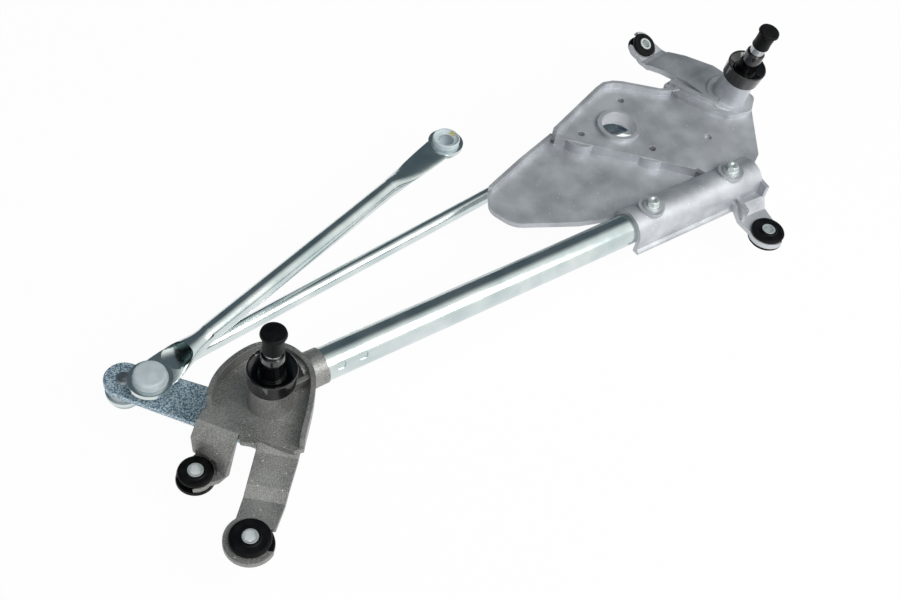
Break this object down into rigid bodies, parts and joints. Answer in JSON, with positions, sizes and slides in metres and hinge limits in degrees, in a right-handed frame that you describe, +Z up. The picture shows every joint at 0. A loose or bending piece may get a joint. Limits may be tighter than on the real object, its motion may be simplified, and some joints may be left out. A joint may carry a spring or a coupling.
{
  "type": "wiper linkage",
  "caption": "Windscreen wiper linkage: a tube joins two die-cast spindle housings, one with the motor plate; ball-jointed rods turn both wiper spindles",
  "frame": {"origin": "on the left spindle's axis, level with the rim of its cover", "axes": "+Z up the left spindle, +X towards the right spindle, +Y away from the grommets on the front side"},
  "size_m": [0.6845, 0.2964, 0.1622],
  "materials": {
    "die_cast": "as-cast, lightly blasted",
    "zinc_plated_steel": "bright zinc with a blue tint",
    "bright_fasteners": "bright zinc",
    "black_rubber": "moulded, satin",
    "black_plastic": "moulded, glossy",
    "white_acetal": "natural, slightly translucent",
    "sintered_bronze": "oil-filled, matt",
    "ground_steel": "ground"
  },
  "bodies": {
    "frame": {"frame_tube": "zinc_plated_steel", "left_housing": "die_cast", "right_housing": "die_cast", "clamp_bolts": "bright_fasteners", "clamp_washers": "bright_fasteners", "clamp_nuts": "bright_fasteners", "left_front_grommet": "black_rubber", "left_front_grommet_sleeve": "zinc_plated_steel", "left_rear_grommet": "black_rubber", "left_rear_grommet_sleeve": "zinc_plated_steel", "right_front_grommet": "black_rubber", "right_front_grommet_sleeve": "zinc_plated_steel", "right_rear_grommet": "black_rubber", "right_rear_grommet_sleeve": "zinc_plated_steel", "left_upper_bush": "sintered_bronze", "left_lower_bush": "sintered_bronze", "left_pivot_cover": "black_plastic", "left_spindle_sleeve": "black_plastic", "left_thrust_washer": "ground_steel", "left_spring_washer": "ground_steel", "left_retaining_washer": "ground_steel", "right_upper_bush": "sintered_bronze", "right_lower_bush": "sintered_bronze", "right_pivot_cover": "black_plastic", "right_spindle_sleeve": "black_plastic", "right_thrust_washer": "ground_steel", "right_spring_washer": "ground_steel", "right_retaining_washer": "ground_steel"},
    "left_drive": {"left_spindle": "ground_steel", "left_crank": "zinc_plated_steel", "drive_ball_stud": "ground_steel", "crank_ball_stud": "ground_steel", "left_spindle_cap": "black_rubber", "left_retaining_clip": "ground_steel"},
    "right_drive": {"right_spindle": "ground_steel", "right_lever": "zinc_plated_steel", "lever_ball_stud": "ground_steel", "right_spindle_cap": "black_rubber", "right_retaining_clip": "ground_steel"},
    "drive_rod": {"drive_rod": "zinc_plated_steel", "drive_rod_pivot_socket": "white_acetal", "drive_rod_motor_socket": "white_acetal"},
    "connecting_rod": {"connecting_rod": "zinc_plated_steel", "left_link_socket": "white_acetal", "right_link_socket": "white_acetal"}
  },
  "joints": [
    {"name": "left_spindle_turn", "type": "hinge", "parent": "frame", "child": "left_drive", "pos_m": [0, 0, -0.04], "axis": [0, 0, 1], "range_deg": [-44, 0]},
    {"name": "right_spindle_turn", "type": "hinge", "parent": "frame", "child": "right_drive", "pos_m": [0.5655, 0, 0.012], "axis": [0, -0.165, 0.9863], "range_deg": [-70.5, 0]},
    {"name": "connecting_rod_turn", "type": "hinge", "parent": "left_drive", "child": "connecting_rod", "pos_m": [-0.0605, 0.10479, -0.093], "axis": [-0.0493, -0.0275, 0.9984], "range_deg": [0, 45.6]},
    {"name": "drive_rod_turn", "type": "hinge", "parent": "left_drive", "child": "drive_rod", "pos_m": [-0.049, 0.08487, -0.067], "axis": [0, 0, 1], "range_deg": [0, 44]}
  ],
  "couplings": [
    {"joint": "right_spindle_turn", "follows": "left_spindle_turn", "ratio": 1.5986},
    {"joint": "connecting_rod_turn", "follows": "left_spindle_turn", "ratio": -1.0339},
    {"joint": "drive_rod_turn", "follows": "left_spindle_turn", "ratio": -1}
  ]
}
